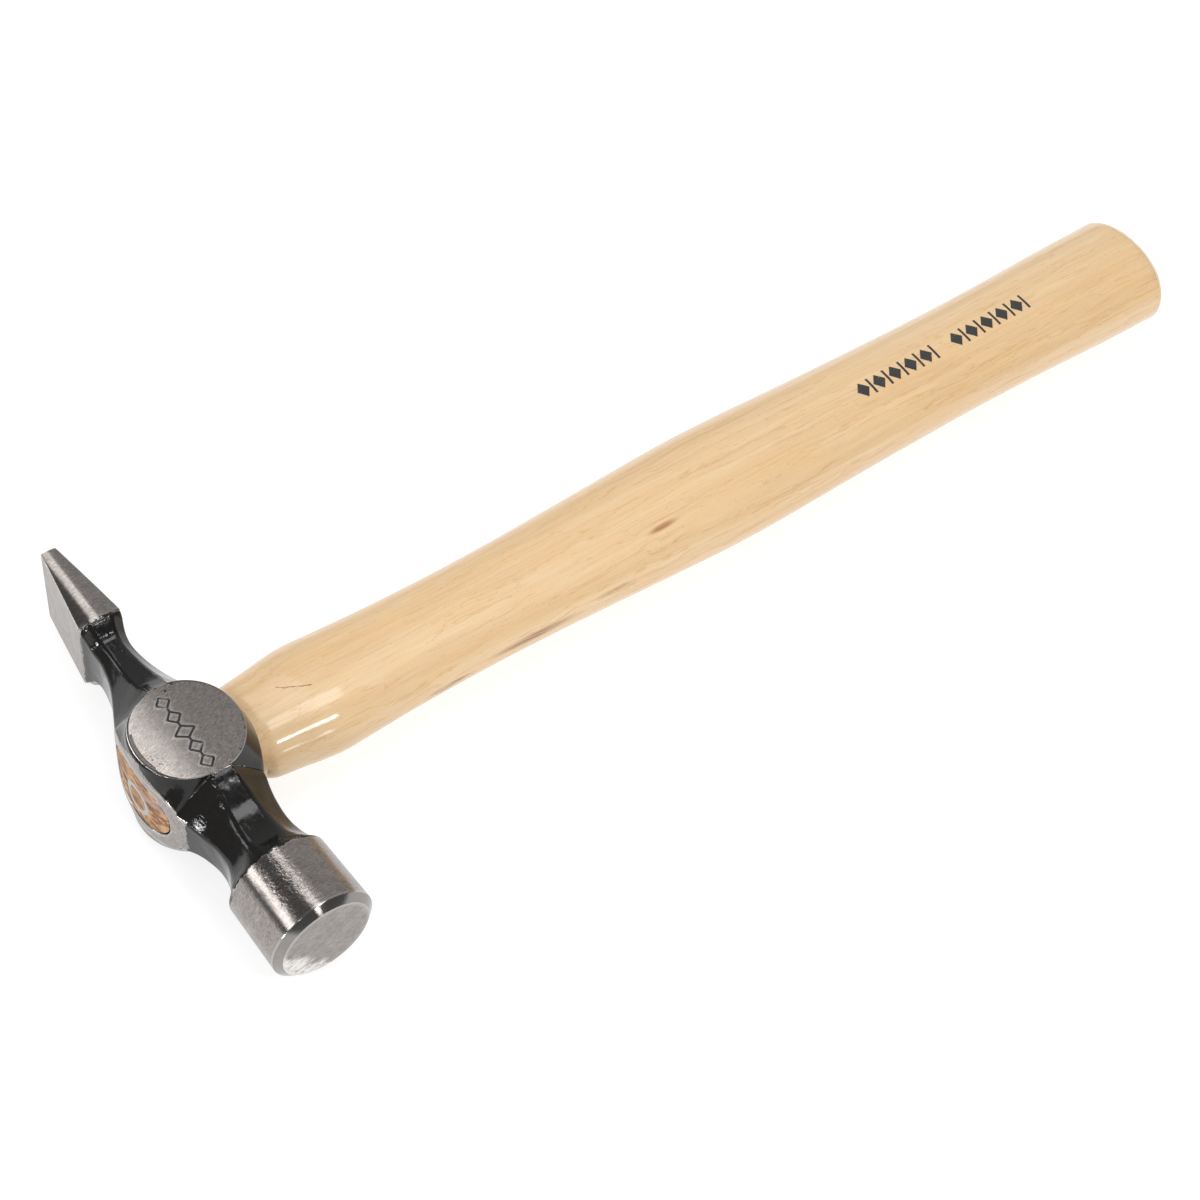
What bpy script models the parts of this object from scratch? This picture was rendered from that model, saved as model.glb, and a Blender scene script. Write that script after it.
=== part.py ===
"""Light cross-pein hammer: a forged head on an oval hickory handle.

The handle's tenon fills the eye of the head.  A wooden wedge driven into the tenon's
kerf and a conical steel ring driven over both keep it there.

World frame: the hammer lies on a cheek, +Z is up, +X points out of the striking face
and +Y runs down the handle to its butt.  The origin is the middle of the bounding box,
on the plane that the hammer lies on.
"""

import math

import bmesh
import bpy
from mathutils import Vector

MM = 0.001
GAP = 0.3                      # play between touching pieces, mm

# --- head, mm, measured from the crossing of the head's axis and the eye's axis ---
FACE_X = 54.85                 # plane of the striking face
FACE_RADIUS = 11.1             # flat of the striking face
CHAMFER_X = 53.15              # where the face's chamfer meets the barrel
BARREL_RADIUS = 13.0           # barrel behind the chamfer
BARREL_BACK_X = 35.3
BARREL_BACK_RADIUS = 12.6
CHEEK_Z = 15.0                 # ground cheek faces at +/- this height
CHEEK_LENGTH = 13.5            # half length of a cheek face along X
CHEEK_WIDTH = 13.15            # half width of a cheek face along Y
CHEEK_SHIFT_X = -0.4           # the cheek faces sit a little off the head's centre,
CHEEK_SHIFT_Y = -1.0           # towards the pein and the crown
CHEEK_EDGE = 0.3               # rounding of the cheek face's edge
CHEEK_NECK = 2.3               # half width of the neck's facet where it meets the cheek
CROWN_Y = 14.5                 # crown above the head's axis
CROWN_SWEEP = 37.0             # radius of the crown's arc, seen from the cheek
THROAT_Y = 14.3                # the eye block's other side, where the handle leaves it
THROAT_SWEEP = 24.0
PEIN_TIP_X = -64.3
PEIN_ROOT_X = -41.0
PEIN_RADIUS = 11.9             # the pein is a round bar with two flats ground on it
PEIN_TIP_THICKNESS = 4.0
PEIN_ROOT_THICKNESS = 11.1
PEIN_SHIFT_Y = 0.3             # its flats are ground a little off centre, towards the handle
PEIN_SHOULDER = 0.6            # stretch over which the round root turns into the neck
PEIN_CUT_OVER = 1.2            # how far the ground flats run into the neck

# --- eye and the tenon in it, mm ---
EYE_X = -1.1                   # the eye's centre, slightly behind the head's middle
EYE_MOUTH = (12.2, 8.5)        # half length along X and half width along Z
EYE_WAIST = (11.4, 7.8)
EYE_LEVELS = (-12.0, -8.0, -4.0, 0.0, 4.0, 8.0, 12.0)   # sections of the bore
TENON_LEVELS = (-12.0, -8.0, -4.0, 0.0, 4.0, 8.0, 11.0, 13.1)
TENON_END_SHARES = (0.25, 0.5, 0.75, 1.0)    # rings on the tenon's end, which follows the crown
EYE_POWER = 2.24               # exponent of the superellipse

# --- handle, mm ---
HANDLE_RIM_Y = 300.8
BUTT_TILT = 0.05               # the butt is cut a little out of square
HANDLE_LEAN = 1.75             # sideways drift of the axis from the head to the butt
HANDLE_POWER = 2.1
# (distance from the head's axis, half width along X, half width along Z)
HANDLE_SECTIONS = [
    (14.2, 12.8, 8.2), (15.5, 13.2, 8.9), (22.0, 14.0, 9.4), (28.0, 14.9, 10.0), (33.0, 15.3, 10.2),
    (40.0, 15.0, 10.0), (55.0, 14.4, 9.6), (75.0, 14.2, 9.5), (92.0, 14.55, 9.7),
    (112.0, 15.35, 10.3), (132.0, 16.3, 10.9), (150.0, 16.95, 11.4), (168.0, 16.8, 11.4),
    (188.0, 16.2, 11.1), (210.0, 15.75, 10.9), (235.0, 15.5, 10.8), (258.0, 15.8, 11.0),
    (280.0, 16.45, 11.5), (HANDLE_RIM_Y, 16.8, 11.8),
]
# The dome of the butt: (distance inwards from the rim, height above it)
BUTT_ROWS = [(0.6, 1.1), (2.4, 2.7), (6.0, 4.1), (11.0, 5.0)]

# --- wedges, mm ---
RING_X = -0.55                 # centre of the steel ring in the crown
RING_Z = -1.35
RING_OUTER = 4.65
RING_INNER = 3.2
RING_DEPTH = 11.0
RING_TAPER = 0.35              # how much thinner the wall is at the ring's buried edge
WEDGE_TURN = math.radians(15.0)    # the wedge lies across the eye at this angle to X
WEDGE_Z = 2.1                  # where its middle crosses the eye's short axis
WEDGE_HALF_LENGTH = 13.5
WEDGE_THICKNESS = 2.4
WEDGE_TIP_THICKNESS = 0.8
WEDGE_DEPTH = 19.0

# The necks on both sides of the eye block.  One row is a section across the head's axis:
# distance along X, height on the crown side, height on the handle's side, half width
# along Z, half width of the crown-side facet, half width of the cheek-side facet, and
# corner radius.
PEIN_NECK = [
    (-41.0, 5.6, 6.2, 11.9, 9.0, 3.2, 1.6), (-39.7, 5.0, 5.7, 11.7, 8.8, 3.1, 1.5),
    (-38.4, 4.7, 5.2, 10.5, 7.6, 2.7, 1.2), (-37.0, 4.5, 4.85, 8.9, 6.1, 2.4, 1.0),
    (-35.0, 4.35, 4.6, 8.1, 5.5, 2.1, 1.0), (-33.0, 4.4, 4.55, 7.9, 5.3, 2.0, 1.0),
    (-30.0, 4.9, 4.85, 8.1, 5.2, 2.2, 1.0), (-26.0, 6.0, 5.7, 8.8, 5.0, 2.5, 1.0),
    (-22.0, 7.8, 7.1, 10.1, 4.8, 2.8, 1.0), (-18.0, 9.8, 8.9, 12.0, 4.9, 3.0, 1.0),
    (-15.5, 11.0, 9.8, 13.6, 5.6, 2.6, 0.8),
]
BARREL_NECK = [
    (15.0, 11.5, 10.2, 13.9, 5.8, 2.6, 0.8), (18.0, 10.4, 9.6, 12.1, 4.8, 3.0, 1.0),
    (21.0, 9.5, 9.2, 10.6, 4.4, 3.3, 1.0), (24.5, 8.8, 8.9, 9.6, 4.4, 3.6, 1.2),
    (28.0, 8.8, 9.0, 9.4, 4.5, 3.9, 1.8), (31.0, 9.6, 9.7, 10.0, 4.6, 4.2, 3.2),
    (33.5, 11.0, 10.9, 11.2, 4.8, 4.7, 7.5),
]
CREST_HALF_WIDTH = 10.7        # crown-side facet at the middle of the eye block
CREST_NECK = 6.4               # the same facet where the cheek face ends
THROAT_CREST = 0.85            # the facet on the handle's side, as a share of the crown's
CREST_POWER = 0.8              # how soon the crown-side facet widens from the neck

CUTTER_REACH = 20.0            # half width of a cutting block
OVERSHOOT = 2.0                # how far a cutter runs past the surface that it opens
HEAD_STEP = 2.0                # longest stretch between two sections of a neck
HANDLE_STEP = 9.0              # the same along the handle
EYE_BLOCK_STEPS = 8            # sections in half of the eye block
ARC_STEPS = 4                  # facets in one rounded corner
RING_POINTS = 40               # points round an oval section
RING_STEPS = 32                # facets round the steel ring
WEDGE_STEPS = 8                # sections along the wooden wedge

STEEL_GREY = (0.42, 0.40, 0.39, 1.0)
WEDGE_STEEL = (0.46, 0.46, 0.47, 1.0)
HICKORY = (0.72, 0.50, 0.27, 1.0)
WEDGE_WOOD = (0.34, 0.22, 0.17, 1.0)


# ---------------------------------------------------------------- small tools

def clear_scene():
    for obj in list(bpy.data.objects):
        bpy.data.objects.remove(obj, do_unlink=True)


def make_collection(name):
    collection = bpy.data.collections.new(name)
    bpy.context.scene.collection.children.link(collection)
    return collection


def make_material(name, colour, roughness, metallic):
    material = bpy.data.materials.new(name)
    material.use_nodes = True
    shader = material.node_tree.nodes["Principled BSDF"]
    shader.inputs["Base Color"].default_value = colour
    shader.inputs["Roughness"].default_value = roughness
    shader.inputs["Metallic"].default_value = metallic
    material.diffuse_color = colour
    return material


def handle_axis_x(y):
    return EYE_X + HANDLE_LEAN * y / HANDLE_RIM_Y


def butt_end_y():
    """The furthest point of the butt: its last ring, where the tilt lifts it most."""
    inset, rise = BUTT_ROWS[-1]
    end_x = handle_axis_x(HANDLE_RIM_Y) - (HANDLE_SECTIONS[-1][1] - inset)
    return HANDLE_RIM_Y + rise - BUTT_TILT * end_x


def to_world(x, y, z):
    """A point measured from the head's centre, in mm, as world metres."""
    middle_x = (PEIN_TIP_X + FACE_X) / 2
    middle_y = (butt_end_y() - CROWN_Y) / 2
    return Vector((x - middle_x, y - middle_y, z + CHEEK_Z)) * MM


def finish_mesh(name, mesh, bm, collection, material):
    bmesh.ops.recalc_face_normals(bm, faces=bm.faces)
    bm.to_mesh(mesh)
    bm.free()
    obj = bpy.data.objects.new(name, mesh)
    collection.objects.link(obj)
    if material:
        mesh.materials.append(material)
        mesh.shade_smooth()
        mesh.set_sharp_from_angle(angle=math.radians(30))
    return obj


def loft(name, rings, collection, material=None):
    """A closed solid through rings of equal point count, capped at both ends."""
    mesh = bpy.data.meshes.new(name)
    bm = bmesh.new()
    rows = [[bm.verts.new(to_world(*point)) for point in ring] for ring in rings]
    for near, far in zip(rows, rows[1:]):
        for k in range(len(near)):
            after = (k + 1) % len(near)
            bm.faces.new((near[k], near[after], far[after], far[k]))
    bm.faces.new(rows[0])
    bm.faces.new(rows[-1])
    return finish_mesh(name, mesh, bm, collection, material)


def cut(obj, cutter):
    cutter.hide_render = True
    cutter.display_type = "WIRE"
    modifier = obj.modifiers.new("cut_" + cutter.name, "BOOLEAN")
    modifier.operation = "DIFFERENCE"
    modifier.solver = "EXACT"
    modifier.object = cutter


def smooth_rows(rows, step):
    """Rows of numbers with extra rows between, on a smooth curve no coarser than step."""
    slopes = []
    for k in range(len(rows)):
        before = rows[max(k - 1, 0)]
        after = rows[min(k + 1, len(rows) - 1)]
        run = after[0] - before[0]
        slopes.append([(b - a) / run for a, b in zip(before, after)])
    result = []
    for k in range(len(rows) - 1):
        here, there = rows[k], rows[k + 1]
        run = there[0] - here[0]
        pieces = max(1, math.ceil(run / step))
        for piece in range(pieces):
            t = piece / pieces
            value = []
            for a, b, slope_a, slope_b in zip(here, there, slopes[k], slopes[k + 1]):
                hermite = (2 * t**3 - 3 * t**2 + 1) * a + (3 * t**2 - 2 * t**3) * b
                hermite += (t**3 - 2 * t**2 + t) * run * slope_a
                hermite += (t**3 - t**2) * run * slope_b
                value.append(hermite)
            result.append(tuple(value))
    result.append(tuple(rows[-1]))
    return result


def oval(half_x, half_z, power, centre_x=0.0, centre_z=0.0, points=RING_POINTS):
    """Points (x, z) of a superellipse."""
    result = []
    for k in range(points):
        angle = 2 * math.pi * k / points
        c, s = math.cos(angle), math.sin(angle)
        x = math.copysign(abs(c) ** (2 / power), c) * half_x
        z = math.copysign(abs(s) ** (2 / power), s) * half_z
        result.append((centre_x + x, centre_z + z))
    return result


def crown(x):
    """Height Y of the crown's arc at x, on the side away from the handle."""
    return -(CROWN_Y - x * x / (2 * CROWN_SWEEP))


# ---------------------------------------------------------------- head

def quarter_section(half_y, half_z, side_facet, cheek_facet, radius):
    """Points (y, z) of a quarter of an eight-sided section with rounded corners."""
    chamfer = math.atan2(half_y - cheek_facet, half_z - side_facet)
    corners = [
        (half_y, side_facet, 0.0, chamfer),
        (cheek_facet, half_z, chamfer, math.pi / 2),
    ]
    points = []
    for corner_y, corner_z, start, end in corners:
        middle = (start + end) / 2
        reach = radius / math.cos((end - start) / 2)
        centre_y = corner_y - reach * math.cos(middle)
        centre_z = corner_z - reach * math.sin(middle)
        for k in range(ARC_STEPS + 1):
            angle = start + (end - start) * k / ARC_STEPS
            points.append((centre_y + radius * math.cos(angle),
                           centre_z + radius * math.sin(angle)))
    return points


def octagon(crown_y, throat_y, half_z, side_facet, cheek_facet, radius,
            shift=0.0, throat_share=1.0):
    """Points (y, z) of a whole section; its two sides along Y have their own heights."""
    throat = quarter_section(throat_y, half_z, side_facet * throat_share,
                             cheek_facet + shift, radius)
    top = quarter_section(crown_y, half_z, side_facet, cheek_facet - shift, radius)
    half = throat + [(-y, z) for y, z in reversed(top)]
    return half + [(y, -z) for y, z in reversed(half)]


def round_section(radius):
    facet = radius * math.tan(math.pi / 8)
    return octagon(radius, radius, radius, facet, facet, radius)


def eye_block_rows():
    """Sections through the eye block, whose cheek faces have an oval outline."""
    rows = []
    for k in range(-EYE_BLOCK_STEPS, EYE_BLOCK_STEPS + 1):
        turn = math.pi / 2 * k / EYE_BLOCK_STEPS
        x = CHEEK_SHIFT_X + CHEEK_LENGTH * math.sin(turn)
        outline = max(CHEEK_WIDTH * math.cos(turn), CHEEK_NECK)
        shift = CHEEK_SHIFT_Y * math.cos(turn)
        widening = abs(math.cos(turn)) ** CREST_POWER
        crest = CREST_NECK + (CREST_HALF_WIDTH - CREST_NECK) * widening
        throat = THROAT_Y - x * x / (2 * THROAT_SWEEP)
        rows.append((x, -crown(x), throat, CHEEK_Z, crest, outline, CHEEK_EDGE, shift,
                     THROAT_CREST))
    return rows


def make_head(collection, cutters):
    rings = []

    def add(x, section):
        rings.append([(x, y, z) for y, z in section])

    add(PEIN_TIP_X, round_section(PEIN_RADIUS))
    add(PEIN_ROOT_X - PEIN_SHOULDER, round_section(PEIN_RADIUS))
    for rows in (smooth_rows(PEIN_NECK, HEAD_STEP), eye_block_rows(),
                 smooth_rows(BARREL_NECK, HEAD_STEP)):
        for row in rows:
            add(row[0], octagon(*row[1:]))
    add(BARREL_BACK_X, round_section(BARREL_BACK_RADIUS))
    add(CHAMFER_X, round_section(BARREL_RADIUS))
    add(FACE_X, round_section(FACE_RADIUS))
    steel = make_material("forged_steel", STEEL_GREY, 0.35, 0.9)
    head = loft("hammer_head", rings, collection, steel)
    for side in (-1, 1):
        cut(head, make_pein_cutter(side, cutters))
    cut(head, eye_solid("eye_bore", cutters, 0.0))
    return head


def make_pein_cutter(side, cutters):
    """Block whose inner face is one of the pein's two ground flats."""
    slope = (PEIN_ROOT_THICKNESS - PEIN_TIP_THICKNESS) / 2 / (PEIN_ROOT_X - PEIN_TIP_X)
    rings = []
    for x in (PEIN_TIP_X - OVERSHOOT, PEIN_ROOT_X + PEIN_CUT_OVER):
        near = PEIN_TIP_THICKNESS / 2 + slope * (x - PEIN_TIP_X) + side * PEIN_SHIFT_Y
        square = [(near, -CUTTER_REACH), (CUTTER_REACH, -CUTTER_REACH),
                  (CUTTER_REACH, CUTTER_REACH), (near, CUTTER_REACH)]
        rings.append([(x, side * y, z) for y, z in square])
    name = "pein_flat_crown" if side < 0 else "pein_flat_handle"
    return loft(name, rings, cutters)


def eye_size(y):
    """Half length and half width of the waisted eye at distance y from its middle."""
    share = min(1.0, (y / CROWN_Y) ** 2)
    return tuple(w + (m - w) * share for w, m in zip(EYE_WAIST, EYE_MOUTH))


def eye_solid(name, cutters, play):
    """The space inside the eye, drawn in by play, and running past both its mouths."""
    rings = []
    for y in (-CROWN_Y - OVERSHOOT, *EYE_LEVELS, CROWN_Y + OVERSHOOT):
        half_x, half_z = eye_size(y)
        outline = oval(half_x - play, half_z - play, EYE_POWER, EYE_X)
        rings.append([(x, y, z) for x, z in outline])
    return loft(name, rings, cutters)


# ---------------------------------------------------------------- handle

def make_handle(collection, cutters):
    rings = []
    mouth_x, mouth_z = EYE_MOUTH
    for share in TENON_END_SHARES:
        outline = oval((mouth_x - GAP) * share, (mouth_z - GAP) * share, EYE_POWER, EYE_X)
        rings.append([(x, crown(x), z) for x, z in outline])
    for y in TENON_LEVELS:
        half_x, half_z = eye_size(y)
        outline = oval(half_x - GAP, half_z - GAP, EYE_POWER, EYE_X)
        rings.append([(x, y, z) for x, z in outline])
    for y, half_x, half_z in smooth_rows(HANDLE_SECTIONS, HANDLE_STEP):
        outline = oval(half_x, half_z, HANDLE_POWER, handle_axis_x(y))
        tilt = BUTT_TILT if y >= HANDLE_RIM_Y else 0.0
        rings.append([(x, y - tilt * x, z) for x, z in outline])
    last_x, last_z = HANDLE_SECTIONS[-1][1:]
    for inset, rise in BUTT_ROWS:
        outline = oval(last_x - inset, last_z - inset * last_z / last_x, HANDLE_POWER,
                       handle_axis_x(HANDLE_RIM_Y))
        rings.append([(x, HANDLE_RIM_Y + rise - BUTT_TILT * x, z) for x, z in outline])
    hickory = make_material("lacquered_hickory", HICKORY, 0.35, 0.0)
    handle = loft("hickory_handle", rings, collection, hickory)
    cut(handle, wedge_solid("wedge_kerf", cutters, GAP))
    cut(handle, ring_solid("ring_groove", cutters, GAP))
    return handle


# ---------------------------------------------------------------- wedges

def wedge_solid(name, collection, play, material=None):
    """The tapered wedge, flush with the crown's arc, or with play the kerf around it."""
    rings = []
    along_x, along_z = math.cos(WEDGE_TURN), math.sin(WEDGE_TURN)
    bottom = -CROWN_Y + WEDGE_DEPTH + play
    for k in range(WEDGE_STEPS + 1):
        reach = (2 * k / WEDGE_STEPS - 1) * (WEDGE_HALF_LENGTH + play)
        x = EYE_X + reach * along_x
        z = WEDGE_Z + reach * along_z
        top = crown(x) - (OVERSHOOT if play else 0.0)
        ring = []
        for y, thickness, side in ((top, WEDGE_THICKNESS, -1), (top, WEDGE_THICKNESS, 1),
                                   (bottom, WEDGE_TIP_THICKNESS, 1),
                                   (bottom, WEDGE_TIP_THICKNESS, -1)):
            offset = side * (thickness / 2 + play)
            ring.append((x - offset * along_z, y, z + offset * along_x))
        rings.append(ring)
    return loft(name, rings, collection, material)


def ring_solid(name, collection, play, material=None):
    """The conical steel ring, or with play the groove that it sits in."""
    bottom = -CROWN_Y + RING_DEPTH + play
    outer = RING_OUTER + play
    inner = RING_INNER - play
    mesh = bpy.data.meshes.new(name)
    bm = bmesh.new()
    rows = []
    for k in range(RING_STEPS):
        angle = 2 * math.pi * k / RING_STEPS
        row = []
        for radius, is_top in ((outer, True), (outer - RING_TAPER, False),
                               (inner + RING_TAPER, False), (inner, True)):
            x = RING_X + radius * math.cos(angle)
            z = RING_Z + radius * math.sin(angle)
            top = crown(x) - (OVERSHOOT if play else 0.0)
            row.append(bm.verts.new(to_world(x, top if is_top else bottom, z)))
        rows.append(row)
    for k in range(RING_STEPS):
        here, there = rows[k], rows[(k + 1) % RING_STEPS]
        for j in range(4):
            after = (j + 1) % 4
            bm.faces.new((here[j], here[after], there[after], there[j]))
    return finish_mesh(name, mesh, bm, collection, material)


def make_wedges(collection, cutters):
    wood = make_material("wedge_hardwood", WEDGE_WOOD, 0.6, 0.0)
    wedge = wedge_solid("wooden_wedge", collection, 0.0, wood)
    inside_eye = wedge.modifiers.new("inside_eye", "BOOLEAN")
    inside_eye.operation = "INTERSECT"
    inside_eye.solver = "EXACT"
    inside_eye.object = eye_solid("eye_plug", cutters, GAP)
    inside_eye.object.hide_render = True
    inside_eye.object.display_type = "WIRE"
    cut(wedge, bpy.data.objects["ring_groove"])
    steel = make_material("wedge_steel", WEDGE_STEEL, 0.4, 0.9)
    ring_solid("steel_ring_wedge", collection, 0.0, steel)


def main():
    clear_scene()
    parts = make_collection("cross_pein_hammer")
    cutters = make_collection("cutters")
    make_head(parts, cutters)
    make_handle(parts, cutters)
    make_wedges(parts, cutters)


main()
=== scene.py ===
"""The looks of the light cross-pein hammer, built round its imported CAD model.

Four pieces stand for the four CAD solids: the forged head, the hickory handle, the wooden
wedge and the conical steel ring.  Each is a fine mesh made from the same sections as its
solid, with rounded edges, forging marks and tool marks, and a procedural material.

Lengths are in millimetres from the head's centre, where the head's axis (X, towards the
striking face) crosses the eye's axis (Y, towards the butt), with Z up.
"""

import math

import bpy
import numpy as np
from mathutils import Matrix, Vector, noise


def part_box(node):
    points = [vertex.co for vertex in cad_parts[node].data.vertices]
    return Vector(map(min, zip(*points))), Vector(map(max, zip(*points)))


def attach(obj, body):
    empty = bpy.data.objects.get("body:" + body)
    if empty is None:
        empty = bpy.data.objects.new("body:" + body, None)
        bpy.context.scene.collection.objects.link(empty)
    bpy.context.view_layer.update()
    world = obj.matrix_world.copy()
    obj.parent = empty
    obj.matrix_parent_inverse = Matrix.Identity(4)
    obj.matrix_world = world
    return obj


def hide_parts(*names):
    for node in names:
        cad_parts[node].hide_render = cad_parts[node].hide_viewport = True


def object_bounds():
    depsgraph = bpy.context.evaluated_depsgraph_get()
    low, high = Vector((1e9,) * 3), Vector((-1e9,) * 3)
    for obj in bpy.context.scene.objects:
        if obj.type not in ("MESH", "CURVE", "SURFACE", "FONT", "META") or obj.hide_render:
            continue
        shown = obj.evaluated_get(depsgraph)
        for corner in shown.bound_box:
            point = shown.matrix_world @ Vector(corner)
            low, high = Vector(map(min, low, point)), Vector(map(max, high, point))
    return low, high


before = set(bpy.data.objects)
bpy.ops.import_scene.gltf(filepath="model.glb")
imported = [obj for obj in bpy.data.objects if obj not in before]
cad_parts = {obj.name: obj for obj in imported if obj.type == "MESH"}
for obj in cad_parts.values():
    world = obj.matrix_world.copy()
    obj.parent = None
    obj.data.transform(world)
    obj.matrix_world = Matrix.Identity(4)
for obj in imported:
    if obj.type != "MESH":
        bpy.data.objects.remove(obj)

CAD_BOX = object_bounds()
MM = 0.001

# --- head, as in the CAD model ---
FACE_X = 54.85
FACE_RADIUS = 11.1
CHAMFER_X = 53.15
BARREL_RADIUS = 13.0
BARREL_BACK_X = 35.3
BARREL_BACK_RADIUS = 12.6
CHEEK_Z = 15.0
CHEEK_LENGTH = 13.5
CHEEK_WIDTH = 13.15
CHEEK_SHIFT_X = -0.4
CHEEK_SHIFT_Y = -1.0
CHEEK_NECK = 2.3
CROWN_Y = 14.5
CROWN_SWEEP = 37.0
THROAT_Y = 14.3
THROAT_SWEEP = 24.0
PEIN_TIP_X = -64.3
PEIN_ROOT_X = -41.0
PEIN_RADIUS = 11.9
PEIN_TIP_THICKNESS = 4.0
PEIN_ROOT_THICKNESS = 11.1
PEIN_SHIFT_Y = 0.3
CREST_HALF_WIDTH = 10.7
CREST_NECK = 6.4
THROAT_CREST = 0.85

# Rows across the necks: distance along X, height on the crown side, height on the handle's
# side, half width along Z, half widths of the crown-side and cheek-side facets, and corner
# radius.
PEIN_NECK = [
    (-39.7, 5.0, 5.7, 11.7, 8.8, 3.1, 1.5),
    (-38.4, 4.7, 5.2, 10.5, 7.6, 2.7, 1.5), (-37.0, 4.5, 4.85, 8.9, 6.1, 2.4, 1.6),
    (-35.0, 4.35, 4.6, 8.1, 5.5, 2.1, 1.7), (-33.0, 4.4, 4.55, 7.9, 5.3, 2.0, 1.7),
    (-30.0, 4.9, 4.85, 8.1, 5.2, 2.2, 1.7), (-26.0, 6.0, 5.7, 8.8, 5.0, 2.5, 1.8),
    (-22.0, 7.8, 7.1, 10.1, 4.8, 2.8, 1.8), (-18.0, 9.8, 8.9, 12.0, 4.9, 3.0, 1.6),
    (-15.5, 11.0, 9.8, 13.6, 5.6, 2.6, 1.2),
]
BARREL_NECK = [
    (15.0, 11.5, 10.2, 13.9, 5.8, 2.6, 1.2), (18.0, 10.4, 9.6, 12.1, 4.8, 3.0, 1.7),
    (21.0, 9.5, 9.2, 10.6, 4.4, 3.3, 2.0), (24.5, 8.8, 8.9, 9.6, 4.4, 3.6, 2.2),
    (28.0, 8.8, 9.0, 9.4, 4.5, 3.9, 2.6), (31.0, 9.6, 9.7, 10.0, 4.6, 4.2, 3.6),
    (33.5, 11.0, 10.9, 11.2, 4.8, 4.7, 7.5),
]

# --- eye, tenon and wedges, as in the CAD model ---
EYE_X = -1.1
EYE_MOUTH = (12.2, 8.5)
EYE_WAIST = (11.4, 7.8)
EYE_POWER = 2.24
RING_X = -0.55
RING_Z = -1.35
RING_OUTER = 4.65
RING_INNER = 3.2
RING_DEPTH = 11.0
RING_TAPER = 0.35
WEDGE_TURN = math.radians(15.0)
WEDGE_Z = 2.1
WEDGE_HALF_LENGTH = 13.5
WEDGE_THICKNESS = 2.4
WEDGE_TIP_THICKNESS = 0.8
WEDGE_DEPTH = 19.0

# --- handle, as in the CAD model ---
HANDLE_RIM_Y = 300.8
HANDLE_DOME = 5.0
BUTT_TILT = 0.05
HANDLE_LEAN = 1.75
HANDLE_POWER = 2.1
HANDLE_SECTIONS = [
    (14.2, 12.8, 8.2), (15.5, 13.2, 8.9), (22.0, 14.0, 9.4), (28.0, 14.9, 10.0), (33.0, 15.3, 10.2),
    (40.0, 15.0, 10.0), (55.0, 14.4, 9.6), (75.0, 14.2, 9.5), (92.0, 14.55, 9.7),
    (112.0, 15.35, 10.3), (132.0, 16.3, 10.9), (150.0, 16.95, 11.4), (168.0, 16.8, 11.4),
    (188.0, 16.2, 11.1), (210.0, 15.75, 10.9), (235.0, 15.5, 10.8), (258.0, 15.8, 11.0),
    (280.0, 16.45, 11.5), (HANDLE_RIM_Y, 16.8, 11.8),
]

# --- what the fine meshes add ---
QUARTER = (14, 6, 18, 6, 20)  # points on a quarter section: facet, corner, chamfer, corner, cheek
HEAD_STEP = 0.45  # distance between sections of the head
EYE_BLOCK_STEPS = 36  # sections in half of the eye block
CHEEK_EDGE = 0.35  # rounding of a cheek's edge
CHEEK_ROLL = 1.3  # the same where the cheek rolls over to the crown
THROAT_ROLL = 3.0  # rounding of the eye block's corners on the handle's side
CHEEK_SAG = 0.22  # how far the cheek's rim lies below its middle
PEIN_EDGE = 0.4
TIP_EDGE = 0.35
BARREL_EDGE = 0.35
FACE_EDGE = 0.3
FACE_SAG = 0.12
EYE_EDGE = 0.2  # chamfer round the eye's mouth
FORGE_DEPTH = 0.055  # height of the forging marks under the lacquer
TENON_PLAY = 0.22  # gap between the tenon and the eye
WEDGE_PLAY = 0.06  # gap round the wedges in the wood
HANDLE_POINTS = 128
HANDLE_STEP = 2.0
EDGE_STEPS = 5  # steps round a rounded edge
FACE_STEPS = 12  # steps from the face's rim to its middle
CREST_POWER = 0.8  # how soon the crest narrows away from the eye block's middle
CUTTER_REACH = 2.0  # how far a cutter stands out of what it cuts
EYE_ROWS = (-11.0, -7.0, -3.0, 0.0, 3.0, 7.0, 11.0, CROWN_Y + CUTTER_REACH)
TENON_ROWS = (-12.0, -8.0, -4.0, 0.0, 4.0, 8.0)
TENON_ROOT_ROWS = (11.0, 13.1)
END_GRAIN_RINGS = 24  # rings of the end grain in the eye
FRAYED_RINGS = 3  # how many of them, next to the steel, are frayed
END_GRAIN_DROP = 0.04  # depth of the end grain under the crown
END_RIM_DROP = 0.16  # the same at its rim
END_RIM_FRAY = 0.25
TENON_FRAY = 0.15
BUTT_TILT_LENGTH = 12.0  # the butt's tilt builds up over the handle's last stretch
BUTT_PROFILE = [(0.0, 0.0), (0.6, 1.1), (2.4, 2.7), (6.0, 4.1), (11.0, HANDLE_DOME)]
BUTT_STEP = 0.5  # the profile is (inset, rise), and this its finest step
WEDGE_STEPS = 40
WEDGE_DROP = 0.08  # depth of the wedge's top under the crown
WEDGE_WAVE = 0.16  # how far it wanders sideways
KERF_RISE = 3.0
RING_POINTS = 96
RING_EDGE = 0.18
GROOVE_RISE = 2.0

BODY = "root"


# ---------------------------------------------------------------- places

head_low, head_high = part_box("hammer_head")
HEAD = Vector((head_high.x - FACE_X * MM, head_low.y + CROWN_Y * MM,
               (head_low.z + head_high.z) / 2))


def place(x, y, z):
    """A point in millimetres from the head's centre, as a place in the frame."""
    return HEAD + Vector((x, y, z)) * MM


def crown(x):
    """Height Y of the crown's arc at x, on the side away from the handle."""
    return -(CROWN_Y - x * x / (2 * CROWN_SWEEP))


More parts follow.
